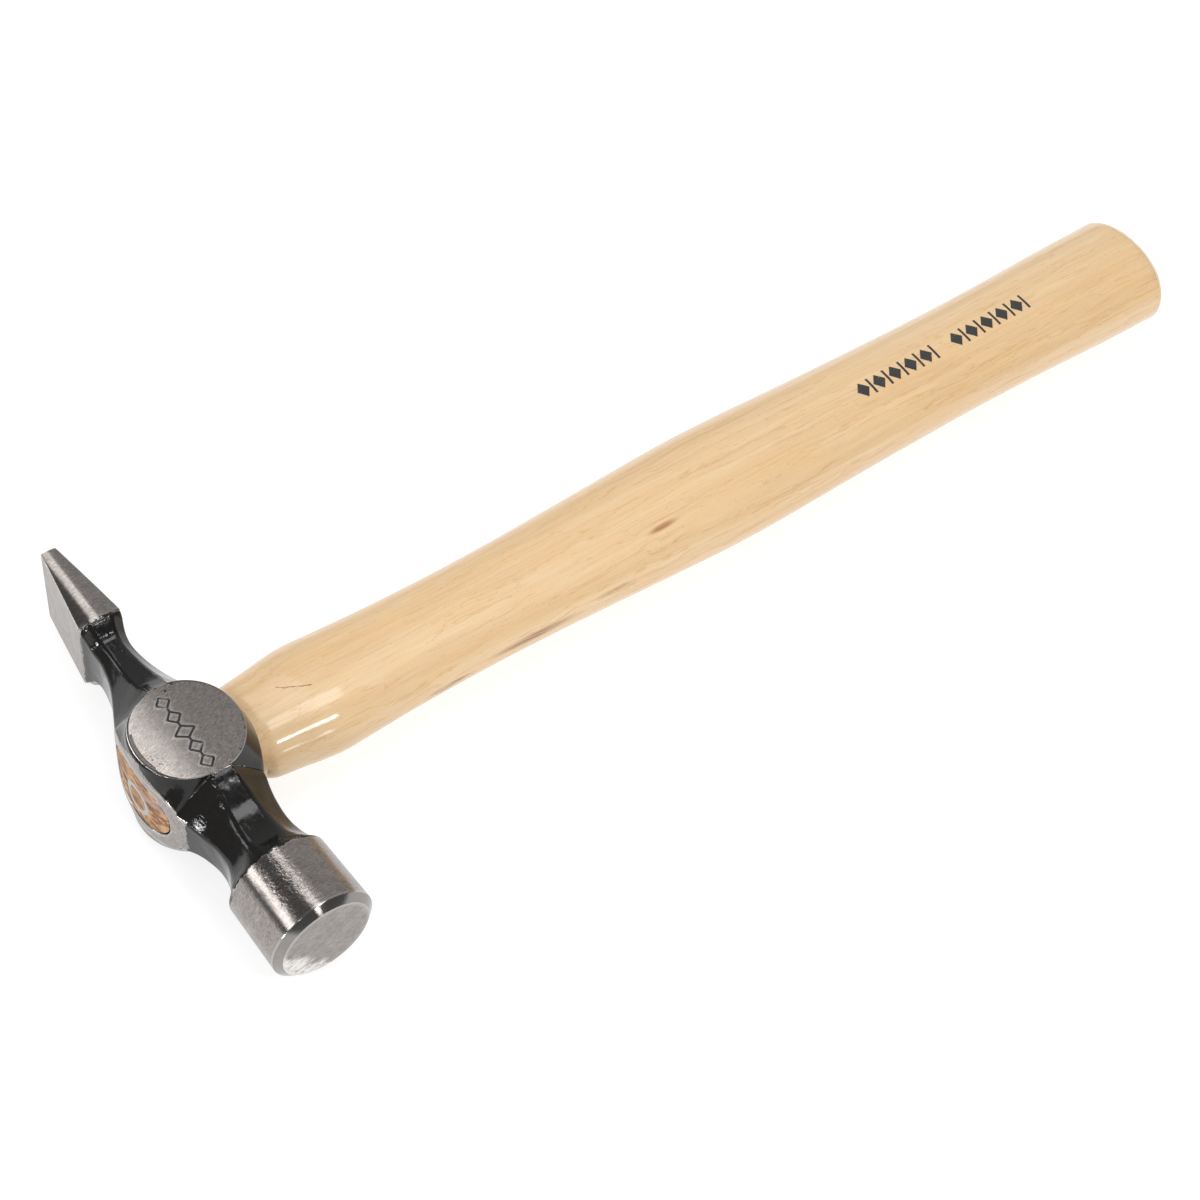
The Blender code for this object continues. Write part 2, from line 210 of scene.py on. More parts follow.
def smooth_rows(rows, step):
    """Rows of numbers with extra rows between, on a smooth curve no coarser than step."""
    slopes = []
    for k in range(len(rows)):
        before = rows[max(k - 1, 0)]
        after = rows[min(k + 1, len(rows) - 1)]
        run = after[0] - before[0]
        slopes.append([(b - a) / run for a, b in zip(before, after)])
    result = []
    for k in range(len(rows) - 1):
        here, there = rows[k], rows[k + 1]
        run = there[0] - here[0]
        pieces = max(1, math.ceil(run / step))
        for t in (piece / pieces for piece in range(pieces)):
            result.append(tuple(
                (2 * t**3 - 3 * t**2 + 1) * a + (3 * t**2 - 2 * t**3) * b
                + (t**3 - 2 * t**2 + t) * run * slope_a + (t**3 - t**2) * run * slope_b
                for a, b, slope_a, slope_b in zip(here, there, slopes[k], slopes[k + 1])))
    result.append(tuple(rows[-1]))
    return result


# ---------------------------------------------------------------- meshes


def new_object(name, data):
    obj = bpy.data.objects.new(name, data)
    bpy.context.scene.collection.objects.link(obj)
    return obj


def make_object(name, rings, closed=False):
    """A mesh through rings of equal point count: capped, or joined end to end if closed."""
    count = len(rings[0])
    points = [place(*point) for ring in rings for point in ring]
    faces = []
    pairs = list(zip(range(len(rings) - 1), range(1, len(rings))))
    if closed:
        pairs.append((len(rings) - 1, 0))
    for near, far in pairs:
        for k in range(count):
            after = (k + 1) % count
            faces.append((near * count + k, near * count + after,
                          far * count + after, far * count + k))
    if not closed:
        faces.append(tuple(reversed(range(count))))
        last = (len(rings) - 1) * count
        faces.append(tuple(range(last, last + count)))
    mesh = bpy.data.meshes.new(name)
    mesh.from_pydata(points, [], faces)
    obj = new_object(name, mesh)
    face_outwards(mesh)
    return obj


def face_outwards(mesh):
    """Turns a closed mesh the right way out, by the sign of its volume."""
    mesh.calc_loop_triangles()
    points = vertex_array(mesh)
    corners = np.array([t.vertices[:] for t in mesh.loop_triangles])
    a, b, c = (points[corners[:, k]] for k in range(3))
    if np.einsum("ij,ij->i", a, np.cross(b, c)).sum() < 0:
        mesh.flip_normals()


def vertex_array(mesh, normals=False):
    """The places of a mesh's vertices, or with normals their normals, one to a row."""
    values = np.zeros(len(mesh.vertices) * 3, np.float32)
    if normals:
        mesh.vertex_normals.foreach_get("vector", values)
    else:
        mesh.vertices.foreach_get("co", values)
    return values.reshape(-1, 3).astype(float)


def combine(obj, operation, tools):
    """Gives obj the result of a boolean with each tool in turn, and removes the tools."""
    for tool in tools:
        modifier = obj.modifiers.new(tool.name, "BOOLEAN")
        modifier.operation = operation
        modifier.solver = "EXACT"
        modifier.object = tool
    bpy.context.view_layer.update()
    evaluated = obj.evaluated_get(bpy.context.evaluated_depsgraph_get())
    mesh = bpy.data.meshes.new_from_object(evaluated)
    obj.modifiers.clear()
    obj.data = mesh
    for tool in tools:
        bpy.data.objects.remove(tool)


def shade(obj, material, angle=40.0):
    """Smooth shading and this material, with edges sharp where they bend by more than angle."""
    mesh = obj.data
    mesh.materials.clear()
    mesh.materials.append(material)
    mesh.shade_smooth()
    mesh.set_sharp_from_angle(angle=math.radians(angle))


def store(mesh, name, values):
    """Stores one number per vertex, for the material to read."""
    attribute = mesh.attributes.new(name, "FLOAT", "POINT")
    attribute.data.foreach_set("value", np.asarray(values, np.float32))


def finish_piece(obj, node):
    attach(obj, BODY)
    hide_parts(node)


# ---------------------------------------------------------------- head sections


def stroke(start, end, count):
    """count points on the straight line from start up to, but not including, end."""
    return [tuple(a + (b - a) * k / count for a, b in zip(start, end)) for k in range(count)]


def arc(centre, radius, start, end, count):
    """count points on an arc from start up to, but not including, end."""
    points = []
    for k in range(count):
        angle = start + (end - start) * k / count
        points.append((centre[0] + radius * math.cos(angle), centre[1] + radius * math.sin(angle)))
    return points


def corner_arc(corner, radius, start, end):
    """Centre of the arc that rounds a corner between faces whose normals are start and end."""
    middle = (start + end) / 2
    reach = radius / math.cos((end - start) / 2)
    return corner[0] - reach * math.cos(middle), corner[1] - reach * math.sin(middle)


def quarter_section(half_y, half_z, side_facet, cheek_facet, radius, edge=None):
    """Points (y, z) of a quarter of an eight-sided section, from the Y axis to the Z axis."""
    edge = radius if edge is None else edge
    chamfer = math.atan2(half_y - cheek_facet, half_z - side_facet)
    side = corner_arc((half_y, side_facet), radius, 0.0, chamfer)
    cheek = corner_arc((cheek_facet, half_z), edge, chamfer, math.pi / 2)
    side_end = (side[0] + radius * math.cos(chamfer), side[1] + radius * math.sin(chamfer))
    cheek_start = (cheek[0] + edge * math.cos(chamfer), cheek[1] + edge * math.sin(chamfer))
    return (stroke((half_y, 0.0), (half_y, side[1]), QUARTER[0])
            + arc(side, radius, 0.0, chamfer, QUARTER[1])
            + stroke(side_end, cheek_start, QUARTER[2])
            + arc(cheek, edge, chamfer, math.pi / 2, QUARTER[3])
            + stroke((cheek[0], half_z), (0.0, half_z), QUARTER[4])
            + [(0.0, half_z)])


def whole_section(throat, crown_side):
    """A closed section from its quarter on the handle's side and its quarter on the crown's."""
    last = len(throat) - 1
    ring = throat[:last]
    ring += [(-y, z) for y, z in crown_side[last:0:-1]]
    ring += [(-y, -z) for y, z in crown_side[:last]]
    ring += [(y, -z) for y, z in throat[last:0:-1]]
    return ring


def octagon(crown_y, throat_y, half_z, side_facet, cheek_facet, radius):
    """An eight-sided section with different heights on the crown's and handle's sides."""
    return whole_section(quarter_section(throat_y, half_z, side_facet, cheek_facet, radius),
                         quarter_section(crown_y, half_z, side_facet, cheek_facet, radius))


def round_section(radius):
    total = sum(QUARTER)
    quarter = arc((0.0, 0.0), radius, 0.0, math.pi / 2, total) + [(0.0, radius)]
    return whole_section(quarter, quarter)


def pein_section(x, shrink=0.0):
    """A circle with two ground flats and rounded edges between them and the round sides."""
    share = (x - PEIN_TIP_X) / (PEIN_ROOT_X - PEIN_TIP_X)
    thickness = PEIN_TIP_THICKNESS + (PEIN_ROOT_THICKNESS - PEIN_TIP_THICKNESS) * share
    half = thickness / 2 - shrink
    radius = PEIN_RADIUS - shrink
    edge = min(PEIN_EDGE, half / 2)
    centre_z = math.sqrt((radius - edge) ** 2 - (half - edge) ** 2)
    turn = math.atan2(centre_z, half - edge)
    quarter = stroke((half, 0.0), (half, centre_z), QUARTER[0])
    quarter += arc((half - edge, centre_z), edge, 0.0, turn, QUARTER[1])
    quarter += arc((0.0, 0.0), radius, turn, math.pi / 2, sum(QUARTER[2:]))
    quarter.append((0.0, radius))
    return [(y + PEIN_SHIFT_Y, z) for y, z in whole_section(quarter, quarter)]


def eye_block_section(turn):
    """The section where the cheek's oval outline has turned this far from its middle."""
    x = CHEEK_SHIFT_X + CHEEK_LENGTH * math.sin(turn)
    outline = max(CHEEK_WIDTH * math.cos(turn), CHEEK_NECK)
    shift = CHEEK_SHIFT_Y * math.cos(turn)
    crest = CREST_NECK + (CREST_HALF_WIDTH - CREST_NECK) * abs(math.cos(turn)) ** CREST_POWER
    throat_y = THROAT_Y - x * x / (2 * THROAT_SWEEP)
    throat = quarter_section(throat_y, CHEEK_Z, crest * THROAT_CREST, outline + shift,
                             THROAT_ROLL, CHEEK_EDGE)
    roll = CHEEK_EDGE + (CHEEK_ROLL - CHEEK_EDGE) * math.cos(turn) ** 2
    top = quarter_section(-crown(x), CHEEK_Z, crest, outline - shift, CHEEK_EDGE, roll)
    return x, whole_section(throat, top)


def rounded_end(x, facing, radius):
    """(x, inset) pairs round the edge of an end face at x that faces along +X (1) or -X (-1)."""
    pairs = []
    for k in range(EDGE_STEPS + 1):
        angle = math.pi / 2 * k / EDGE_STEPS
        pairs.append((x - facing * radius * (1 - math.cos(angle)),
                      radius * (1 - math.sin(angle))))
    return pairs


def along(start, end, step):
    """Distances from start to end, both included, no further apart than step."""
    count = math.ceil(abs(end - start) / step)
    return [start + (end - start) * k / count for k in range(count + 1)]


def face_profile():
    """(x, radius) pairs from the barrel over the chamfer to the middle of the face."""
    profile = []
    slope = math.atan2(BARREL_RADIUS - FACE_RADIUS, FACE_X - CHAMFER_X)
    back = BARREL_EDGE * math.tan(slope / 2)
    for k in range(EDGE_STEPS + 1):
        angle = slope * k / EDGE_STEPS
        profile.append((CHAMFER_X - back + BARREL_EDGE * math.sin(angle),
                        BARREL_RADIUS - BARREL_EDGE * (1 - math.cos(angle))))
    turn = math.pi / 2 - slope
    back = FACE_EDGE * math.tan(turn / 2)
    for k in range(EDGE_STEPS + 1):
        angle = slope + turn * k / EDGE_STEPS
        profile.append((FACE_X - FACE_EDGE + FACE_EDGE * math.sin(angle) - FACE_SAG,
                        FACE_RADIUS - back + FACE_EDGE * math.cos(angle)))
    flat = profile[-1][1]
    for k in range(1, FACE_STEPS):
        share = 1 - k / FACE_STEPS
        profile.append((FACE_X - FACE_SAG * share**2, flat * share))
    return profile


def head_rings():
    """The head's sections from the pein's tip to the striking face."""
    rings = []

    def add(x, section):
        rings.append([(x, y, z) for y, z in section])

    for x, inset in rounded_end(PEIN_TIP_X, -1, TIP_EDGE):
        add(x, pein_section(x, inset))
    for x in along(PEIN_TIP_X + TIP_EDGE + HEAD_STEP, PEIN_ROOT_X, HEAD_STEP):
        add(x, pein_section(x))
    for row in smooth_rows(PEIN_NECK, HEAD_STEP):
        add(row[0], octagon(*row[1:]))
    for k in range(-EYE_BLOCK_STEPS, EYE_BLOCK_STEPS + 1):
        add(*eye_block_section(math.pi / 2 * k / EYE_BLOCK_STEPS))
    for row in smooth_rows(BARREL_NECK, HEAD_STEP):
        add(row[0], octagon(*row[1:]))
    for x in along(BARREL_BACK_X, CHAMFER_X - 1.5 * HEAD_STEP, HEAD_STEP):
        share = (x - BARREL_BACK_X) / (CHAMFER_X - BARREL_BACK_X)
        add(x, round_section(BARREL_BACK_RADIUS + (BARREL_RADIUS - BARREL_BACK_RADIUS) * share))
    for x, radius in face_profile():
        add(x, round_section(radius))
    return rings


# ---------------------------------------------------------------- head surface

LACQUER_X = (-40.4, 35.7)  # the lacquer ends here, towards the pein and towards the face
CROWN_BARE_X = (-17.5, 15.6)  # and leaves the ground crown bare between these
CHEEK_BARE = 0.03  # the bare steel reaches this far over a cheek's rim
CROWN_BARE = 0.28  # and this far over the crown's
CHEEK_CRISPNESS = 8.0  # how much straighter than elsewhere the lacquer's edge is there
CROWN_CRISPNESS = 5.0
RIDGE_BEND = (0.2, 0.8)  # least bend of a ridge and the rise to a sharp one, per mm
FLAT_TOLERANCE = 0.01
CHEEK_SPREAD = 1.3  # limit of a cheek's points, as rim_share
FORGE_FADE = 1.2  # the forging marks come in over this depth of lacquer
SWELLS = (0.32, 0.65)  # forging marks: scale per mm, and share of the depth
DENTS = (0.85, 0.35)
DENT_SHIFT = Vector((7.0, 3.0, 1.0))
FORGE_SINK = 0.35  # they lie lower than the ground steel


def lacquer_depth(x, y, z):
    """How far a point lies inside the black lacquer, in mm: below zero it is ground steel."""
    pein_end = x - LACQUER_X[0]
    barrel_end = LACQUER_X[1] - x
    cheek = (CHEEK_Z - CHEEK_SAG - CHEEK_BARE - np.abs(z)) * CHEEK_CRISPNESS
    crown_rim = (y - crown(x) - CROWN_BARE) * CROWN_CRISPNESS
    crown_ends = np.maximum(x - CROWN_BARE_X[1], CROWN_BARE_X[0] - x)
    crown_side = np.maximum(crown_rim, crown_ends)
    return np.minimum.reduce([pein_end, barrel_end, cheek, crown_side])


def ridge_sharpness(mesh):
    """How sharply each vertex's surface bends outwards, from 0 to 1 on a worn edge."""
    points = vertex_array(mesh) / MM
    normals = vertex_array(mesh, normals=True)
    edges = np.array([e.vertices[:] for e in mesh.edges])
    near, far = edges[:, 0], edges[:, 1]
    run = points[far] - points[near]
    length = np.maximum((run**2).sum(1), 1e-4)
    bend = ((normals[far] - normals[near]) * run).sum(1) / length
    total = np.zeros(len(points))
    for ends in (near, far):
        np.maximum.at(total, ends, bend)
    return np.clip((total - RIDGE_BEND[0]) / RIDGE_BEND[1], 0.0, 1.0)


def rim_share(x, y):
    """0 in the middle of a cheek, 1 on its rim and more outside it."""
    return ((x - CHEEK_SHIFT_X) / CHEEK_LENGTH) ** 2 + ((y - CHEEK_SHIFT_Y) / CHEEK_WIDTH) ** 2


def cheek_sag(x, y):
    """How far a cheek lies below its middle at (x, y)."""
    return CHEEK_SAG * np.minimum(rim_share(x, y), 1.0)


def press_surface(mesh):
    """Moves the fine mesh's points: forging marks under the lacquer, and a sag to the cheeks."""
    points = vertex_array(mesh)
    normals = vertex_array(mesh, normals=True)
    local = (points - np.array(HEAD)) / MM
    x, y, z = local.T
    on_cheek = (np.abs(z) > CHEEK_Z - FLAT_TOLERANCE) & (rim_share(x, y) < CHEEK_SPREAD)
    points[:, 2] -= np.where(on_cheek, np.sign(z) * cheek_sag(x, y), 0) * MM
    depth = np.clip(lacquer_depth(x, y, z) / FORGE_FADE, 0.0, 1.0)
    marks = np.zeros(len(points))
    for index in np.nonzero(depth > 0)[0]:
        spot = Vector(local[index])
        swell = noise.noise(spot * SWELLS[0])
        dent = noise.noise(spot * DENTS[0] + DENT_SHIFT)
        marks[index] = SWELLS[1] * swell + DENTS[1] * dent - FORGE_SINK
    points += normals * (marks * depth * FORGE_DEPTH * MM)[:, None]
    mesh.vertices.foreach_set("co", points.astype(np.float32).ravel())
    mesh.update()


def oval(half_x, half_z, power, centre_x):
    """Points (x, z) of a superellipse whose middle is at centre_x."""
    result = []
    for k in range(HANDLE_POINTS):
        angle = 2 * math.pi * k / HANDLE_POINTS
        c, s = math.cos(angle), math.sin(angle)
        x = math.copysign(abs(c) ** (2 / power), c) * half_x
        z = math.copysign(abs(s) ** (2 / power), s) * half_z
        result.append((centre_x + x, z))
    return result


def level(outline, y):
    """A ring through the points (x, z) of an outline, all at y."""
    return [(x, y, z) for x, z in outline]


def eye_size(y):
    """Half length and half width of the waisted eye at distance y from its middle."""
    share = min(1.0, (y / CROWN_Y) ** 2)
    return tuple(w + (m - w) * share for w, m in zip(EYE_WAIST, EYE_MOUTH))


def eye_cutter():
    """The eye's bore, flared a little where it opens in the crown."""
    mouth_x, mouth_z = EYE_MOUTH
    outside = oval(mouth_x + CUTTER_REACH + EYE_EDGE, mouth_z + CUTTER_REACH + EYE_EDGE,
                   EYE_POWER, EYE_X)
    mouth = oval(mouth_x, mouth_z, EYE_POWER, EYE_X)
    rings = [level(outside, -CROWN_Y - CUTTER_REACH),
             [(x, crown(x) + EYE_EDGE, z) for x, z in mouth]]
    rings += [level(oval(*eye_size(y), EYE_POWER, EYE_X), y) for y in EYE_ROWS]
    return make_object("eye_cutter", rings)


# The ornament on the cheek: a row of open diamonds joined by bars.
MARK_Y = -1.4  # its centre line
MARK_WIDTH = 0.55  # width of a cut line
MARK_DEPTH = 0.12
MARK_DIAMONDS = [(-9.4, 1.8, 1.7), (-4.7, 1.8, 1.7), (0.0, 1.8, 2.5), (4.7, 1.8, 1.7),
                 (9.4, 1.8, 1.7)]  # middle, half length, half height
MARK_BARS = [(-7.7, -6.4), (-3.0, -1.7), (1.7, 3.0), (6.4, 7.7)]
MARK_REACH = (12.6, 3.2)  # half sizes of the field that holds the ornament
MARK_FLOOR = (0.6, 1.2)  # its floor lies between these shares of the depth
MARK_CUTTER_TOP = CHEEK_Z + 1.0


def bar(name, start, end, width):
    """A cutter for one engraved line on the upper cheek, from start to end (x, y)."""
    along_x, along_y = end[0] - start[0], end[1] - start[1]
    length = math.hypot(along_x, along_y)
    side_x, side_y = -along_y / length * width / 2, along_x / length * width / 2
    corners = [(start[0] + side_x, start[1] + side_y), (end[0] + side_x, end[1] + side_y),
               (end[0] - side_x, end[1] - side_y), (start[0] - side_x, start[1] - side_y)]
    floor = CHEEK_Z - cheek_sag(*corners[0]) - MARK_DEPTH
    return make_object(name, [[(x, y, z) for x, y in corners] for z in (MARK_CUTTER_TOP, floor)])


def ornament_lines():
    """Start and end (x, y) of each engraved line."""
    lines = []
    for start, end in MARK_BARS:
        lines.append(((start, MARK_Y), (end, MARK_Y)))
    for middle, half_x, half_y in MARK_DIAMONDS:
        tips = [(middle + half_x, MARK_Y), (middle, MARK_Y + half_y),
                (middle - half_x, MARK_Y), (middle, MARK_Y - half_y)]
        lines += [(tips[k], tips[(k + 1) % 4]) for k in range(4)]
    return lines


def make_head():
    head = make_object("forged_head", head_rings())
    press_surface(head.data)
    cutters = [eye_cutter()]
    for index, (start, end) in enumerate(ornament_lines()):
        cutters.append(bar(f"mark_{index}", start, end, MARK_WIDTH))
    combine(head, "DIFFERENCE", cutters)
    mesh = head.data
    x, y, z = ((vertex_array(mesh) - np.array(HEAD)) / MM).T
    store(mesh, "lacquer", lacquer_depth(x, y, z))
    store(mesh, "ridge", ridge_sharpness(mesh))
    surface = CHEEK_Z - cheek_sag(x, y)
    engraved = (z < surface - MARK_FLOOR[0] * MARK_DEPTH) & (z > surface - MARK_FLOOR[1] * MARK_DEPTH)
    engraved &= (np.abs(y - MARK_Y) < MARK_REACH[1]) & (np.abs(x) < MARK_REACH[0])
    store(mesh, "mark", engraved.astype(float))
    shade(head, steel_material(), 35.0)
    finish_piece(head, "hammer_head")


# ---------------------------------------------------------------- handle and wedges


def handle_axis_x(y):
    """The handle leans a little: x of its axis at y."""
    return EYE_X + HANDLE_LEAN * y / HANDLE_RIM_Y


def frayed(outline, amount):
    """An outline of the tenon, with its points drawn in unevenly by up to amount."""
    result = []
    for x, z in outline:
        pull = amount * (0.5 + 0.5 * noise.noise(Vector((x * 0.6, z * 0.6, 4.0))))
        length = math.hypot(x - EYE_X, z)
        result.append((x - (x - EYE_X) / length * pull, z - z / length * pull))
    return result


def tenon_ring(y):
    """A ring round the tenon, which is frayed and a little smaller than the eye."""
    half_x, half_z = eye_size(y)
    outline = oval(half_x - TENON_PLAY, half_z - TENON_PLAY, EYE_POWER, EYE_X)
    return level(frayed(outline, TENON_FRAY), y)


def make_handle():
    rings = []
    mouth_x, mouth_z = EYE_MOUTH
    for k in range(1, END_GRAIN_RINGS + 1):
        share = k / END_GRAIN_RINGS
        outline = oval((mouth_x - TENON_PLAY) * share, (mouth_z - TENON_PLAY) * share,
                       EYE_POWER, EYE_X)
        if k > END_GRAIN_RINGS - FRAYED_RINGS:
            outline = frayed(outline, END_RIM_FRAY)
        drop = END_RIM_DROP if k == END_GRAIN_RINGS else END_GRAIN_DROP
        rings.append([(x, crown(x) + drop, z) for x, z in outline])
    rings += [tenon_ring(y) for y in TENON_ROWS + TENON_ROOT_ROWS]
    for y, half_x, half_z in smooth_rows(HANDLE_SECTIONS, HANDLE_STEP):
        outline = oval(half_x, half_z, HANDLE_POWER, handle_axis_x(y))
        tilt = BUTT_TILT * max(0.0, 1 - (HANDLE_RIM_Y - y) / BUTT_TILT_LENGTH)
        rings.append([(x, y - tilt * x, z) for x, z in outline])
    rings += butt_rings()
    handle = make_object("handle_wood", rings)
    combine(handle, "DIFFERENCE", [wedge_mesh("kerf", WEDGE_PLAY), ring_mesh("groove", WEDGE_PLAY)])
    shade(handle, wood_material())
    finish_piece(handle, "hickory_handle")


def butt_rings():
    """Rings over the rim and the dome of the butt."""
    rings = []
    last_x, last_z = HANDLE_SECTIONS[-1][1:]
    for inset, rise in smooth_rows(BUTT_PROFILE, BUTT_STEP)[1:]:
        outline = oval(last_x - inset, last_z - inset * last_z / last_x, HANDLE_POWER,
                       handle_axis_x(HANDLE_RIM_Y))
        rings.append([(x, HANDLE_RIM_Y + rise - BUTT_TILT * x, z) for x, z in outline])
    return rings


def wedge_mesh(name, play):
    """The tapered wedge, flush with the crown's arc, or with play the kerf around it."""
    rings = []
    along_x, along_z = math.cos(WEDGE_TURN), math.sin(WEDGE_TURN)
    bottom = -CROWN_Y + WEDGE_DEPTH + play
    for k in range(WEDGE_STEPS + 1):
        reach = (2 * k / WEDGE_STEPS - 1) * (WEDGE_HALF_LENGTH + play)
        x = EYE_X + reach * along_x
        z = WEDGE_Z + reach * along_z
        top = crown(x) + (-KERF_RISE if play else WEDGE_DROP)
        wave = WEDGE_WAVE * noise.noise(Vector((reach * 0.35, 2.0, 5.0)))
        ring = []
        for y, thickness, side in ((top, WEDGE_THICKNESS, -1), (top, WEDGE_THICKNESS, 1),
                                   (bottom, WEDGE_TIP_THICKNESS, 1),
                                   (bottom, WEDGE_TIP_THICKNESS, -1)):
            offset = side * (thickness / 2 + play) + wave
            ring.append((x - offset * along_z, y, z + offset * along_x))
        rings.append(ring)
    return make_object(name, rings)


def ring_mesh(name, play):
    """The conical steel ring with rounded edges, or with play the groove that it sits in."""
    bottom = -CROWN_Y + RING_DEPTH + play
    outer = RING_OUTER + play
    inner = RING_INNER - play
    if play:
        profile = [(outer, -GROOVE_RISE), (inner, -GROOVE_RISE)]
    else:
        halfway = 0.3 * RING_EDGE
        profile = [(outer, RING_EDGE), (outer - halfway, halfway), (outer - RING_EDGE, 0.0),
                   (inner + RING_EDGE, 0.0), (inner + halfway, halfway), (inner, RING_EDGE)]
    rings = []
    for k in range(RING_POINTS):
        angle = 2 * math.pi * k / RING_POINTS
        ring = []
        for radius, depth in profile:
            x = RING_X + radius * math.cos(angle)
            ring.append((x, crown(x) + depth, RING_Z + radius * math.sin(angle)))
        for radius in (inner + RING_TAPER, outer - RING_TAPER):
            x = RING_X + radius * math.cos(angle)
            ring.append((x, bottom, RING_Z + radius * math.sin(angle)))
        rings.append(ring)
    return make_object(name, rings, closed=True)


def eye_plug():
    """The space that the tenon fills, which limits the wedge."""
    return make_object("eye_plug",
                       [tenon_ring(y) for y in (-CROWN_Y - CUTTER_REACH,) + TENON_ROWS])


def make_wedges():
    wedge = wedge_mesh("wedge_wood", 0.0)
    combine(wedge, "INTERSECT", [eye_plug()])
    combine(wedge, "DIFFERENCE", [ring_mesh("groove", WEDGE_PLAY)])
    shade(wedge, wedge_material())
    finish_piece(wedge, "wooden_wedge")
    ring = ring_mesh("wedge_ring", 0.0)
    shade(ring, ring_material())
    finish_piece(ring, "steel_ring_wedge")


# ---------------------------------------------------------------- materials

# Sockets of a Mix node by number: its two inputs and its result, for colours and for numbers.
COLOUR_A, COLOUR_B, COLOUR_RESULT = 6, 7, 2
NUMBER_A, NUMBER_B, NUMBER_RESULT = 2, 3, 0


def feed(tree, socket, value):
    """Links another node's output to the socket, or sets a plain value on it."""
    if isinstance(value, bpy.types.NodeSocket):
        tree.links.new(value, socket)
    else:
        socket.default_value = value


def add_node(tree, kind, inputs, **settings):
    """The outputs of a new node with these settings, and inputs by name or number."""
    node = tree.nodes.new("ShaderNode" + kind)
    for name, value in settings.items():
        setattr(node, name, value)
    for name, value in inputs.items():
        feed(tree, node.inputs[name], value)
    return node.outputs


class Paint:
    """A material with one Principled shader and a short call for each kind of node."""

    def __init__(self, name):
        self.material = bpy.data.materials.new(name)
        self.material.use_nodes = True
        self.tree = self.material.node_tree
        shift = self.vector("SUBTRACT", self.add("TexCoord")["Object"], tuple(HEAD))
        self.place = self.scaled(shift, 1 / MM)
        self.x, self.y, self.z = self.add("SeparateXYZ", {0: self.place})

    def add(self, kind, inputs=None, **settings):
        return add_node(self.tree, kind, inputs or {}, **settings)

    def vector(self, operation, a, b):
        return self.add("VectorMath", {0: a, 1: b}, operation=operation)["Vector"]

    def scaled(self, vector, scale):
        return self.add("VectorMath", {0: vector, "Scale": scale}, operation="SCALE")["Vector"]

    def math(self, operation, a, b=0.0, clamp=False):
        return self.add("Math", {0: a, 1: b}, operation=operation, use_clamp=clamp)[0]

    def plus(self, a, b, clamp=False):
        return self.math("ADD", a, b, clamp)

    def minus(self, a, b, clamp=False):
        return self.math("SUBTRACT", a, b, clamp)

    def size(self, a):
        return self.math("ABSOLUTE", a)

    def times(self, first, *others):
        for other in others:
            first = self.math("MULTIPLY", first, other)
        return first

    def ramp(self, value, low, high, to_low=0.0, to_high=1.0, kind="SMOOTHSTEP"):
        """The range low to high taken to the other range, and held beyond its ends."""
        inputs = {"Value": value, "From Min": low, "From Max": high,
                  "To Min": to_low, "To Max": to_high}
        return self.add("MapRange", inputs, interpolation_type=kind)["Result"]

    def spread(self, value, low, high):
        """A noise's usual range, from 0.3 to 0.7, taken evenly to low to high."""
        return self.ramp(value, 0.3, 0.7, low, high, "LINEAR")

    def stretch(self, scale, turn=0.0, vector=None):
        """The place in millimetres, turned about Z and then scaled along each axis."""
        inputs = {"Vector": self.place if vector is None else vector,
                  "Rotation": (0.0, 0.0, turn)}
        turned = self.add("Mapping", inputs, vector_type="POINT")["Vector"]
        return self.vector("MULTIPLY", turned, scale)

    def noise(self, scale, turn=0.0, vector=None, detail=3.0, roughness=0.5, distortion=0.0):
        inputs = {"Vector": self.stretch(scale, turn, vector), "Scale": 1.0, "Detail": detail,
                  "Roughness": roughness, "Distortion": distortion}
        return self.add("TexNoise", inputs)["Fac"]

    def spots(self, scale):
        """Distance to the nearest of many scattered points."""
        inputs = {"Vector": self.stretch(scale), "Scale": 1.0, "Randomness": 1.0}
        return self.add("TexVoronoi", inputs)["Distance"]

    def mix(self, amount, a, b):
        """A colour between a and b."""
        inputs = {"Factor": amount, COLOUR_A: a, COLOUR_B: b}
        return self.add("Mix", inputs, data_type="RGBA")[COLOUR_RESULT]

    def blend(self, amount, a, b):
        """A number between a and b."""
        inputs = {"Factor": amount, NUMBER_A: a, NUMBER_B: b}
        return self.add("Mix", inputs, data_type="FLOAT")[NUMBER_RESULT]

    def attribute(self, name):
        return self.add("Attribute", attribute_name=name)["Fac"]

    def bump(self, height, depth, normal=None):
        """A bump of this depth in millimetres, on top of another one's normal."""
        inputs = {"Strength": 1.0, "Distance": depth * MM, "Height": height}
        if normal is not None:
            inputs["Normal"] = normal
        return self.add("Bump", inputs)["Normal"]

    def patch(self, centre, reach, softness):
        """1 inside an oval patch around centre with these half sizes, 0 outside it."""
        offset = self.vector("DIVIDE", self.vector("SUBTRACT", self.place, centre), reach)
        distance = self.add("VectorMath", {0: offset}, operation="LENGTH")["Value"]
        return self.ramp(distance, 1.0, 1.0 - softness)

    def finished(self, inputs):
        """The material, once its shader has these inputs."""
        for name, value in inputs.items():
            feed(self.tree, self.tree.nodes["Principled BSDF"].inputs[name], value)
        return self.material


def colour(red, green, blue):
    return (red, green, blue, 1.0)


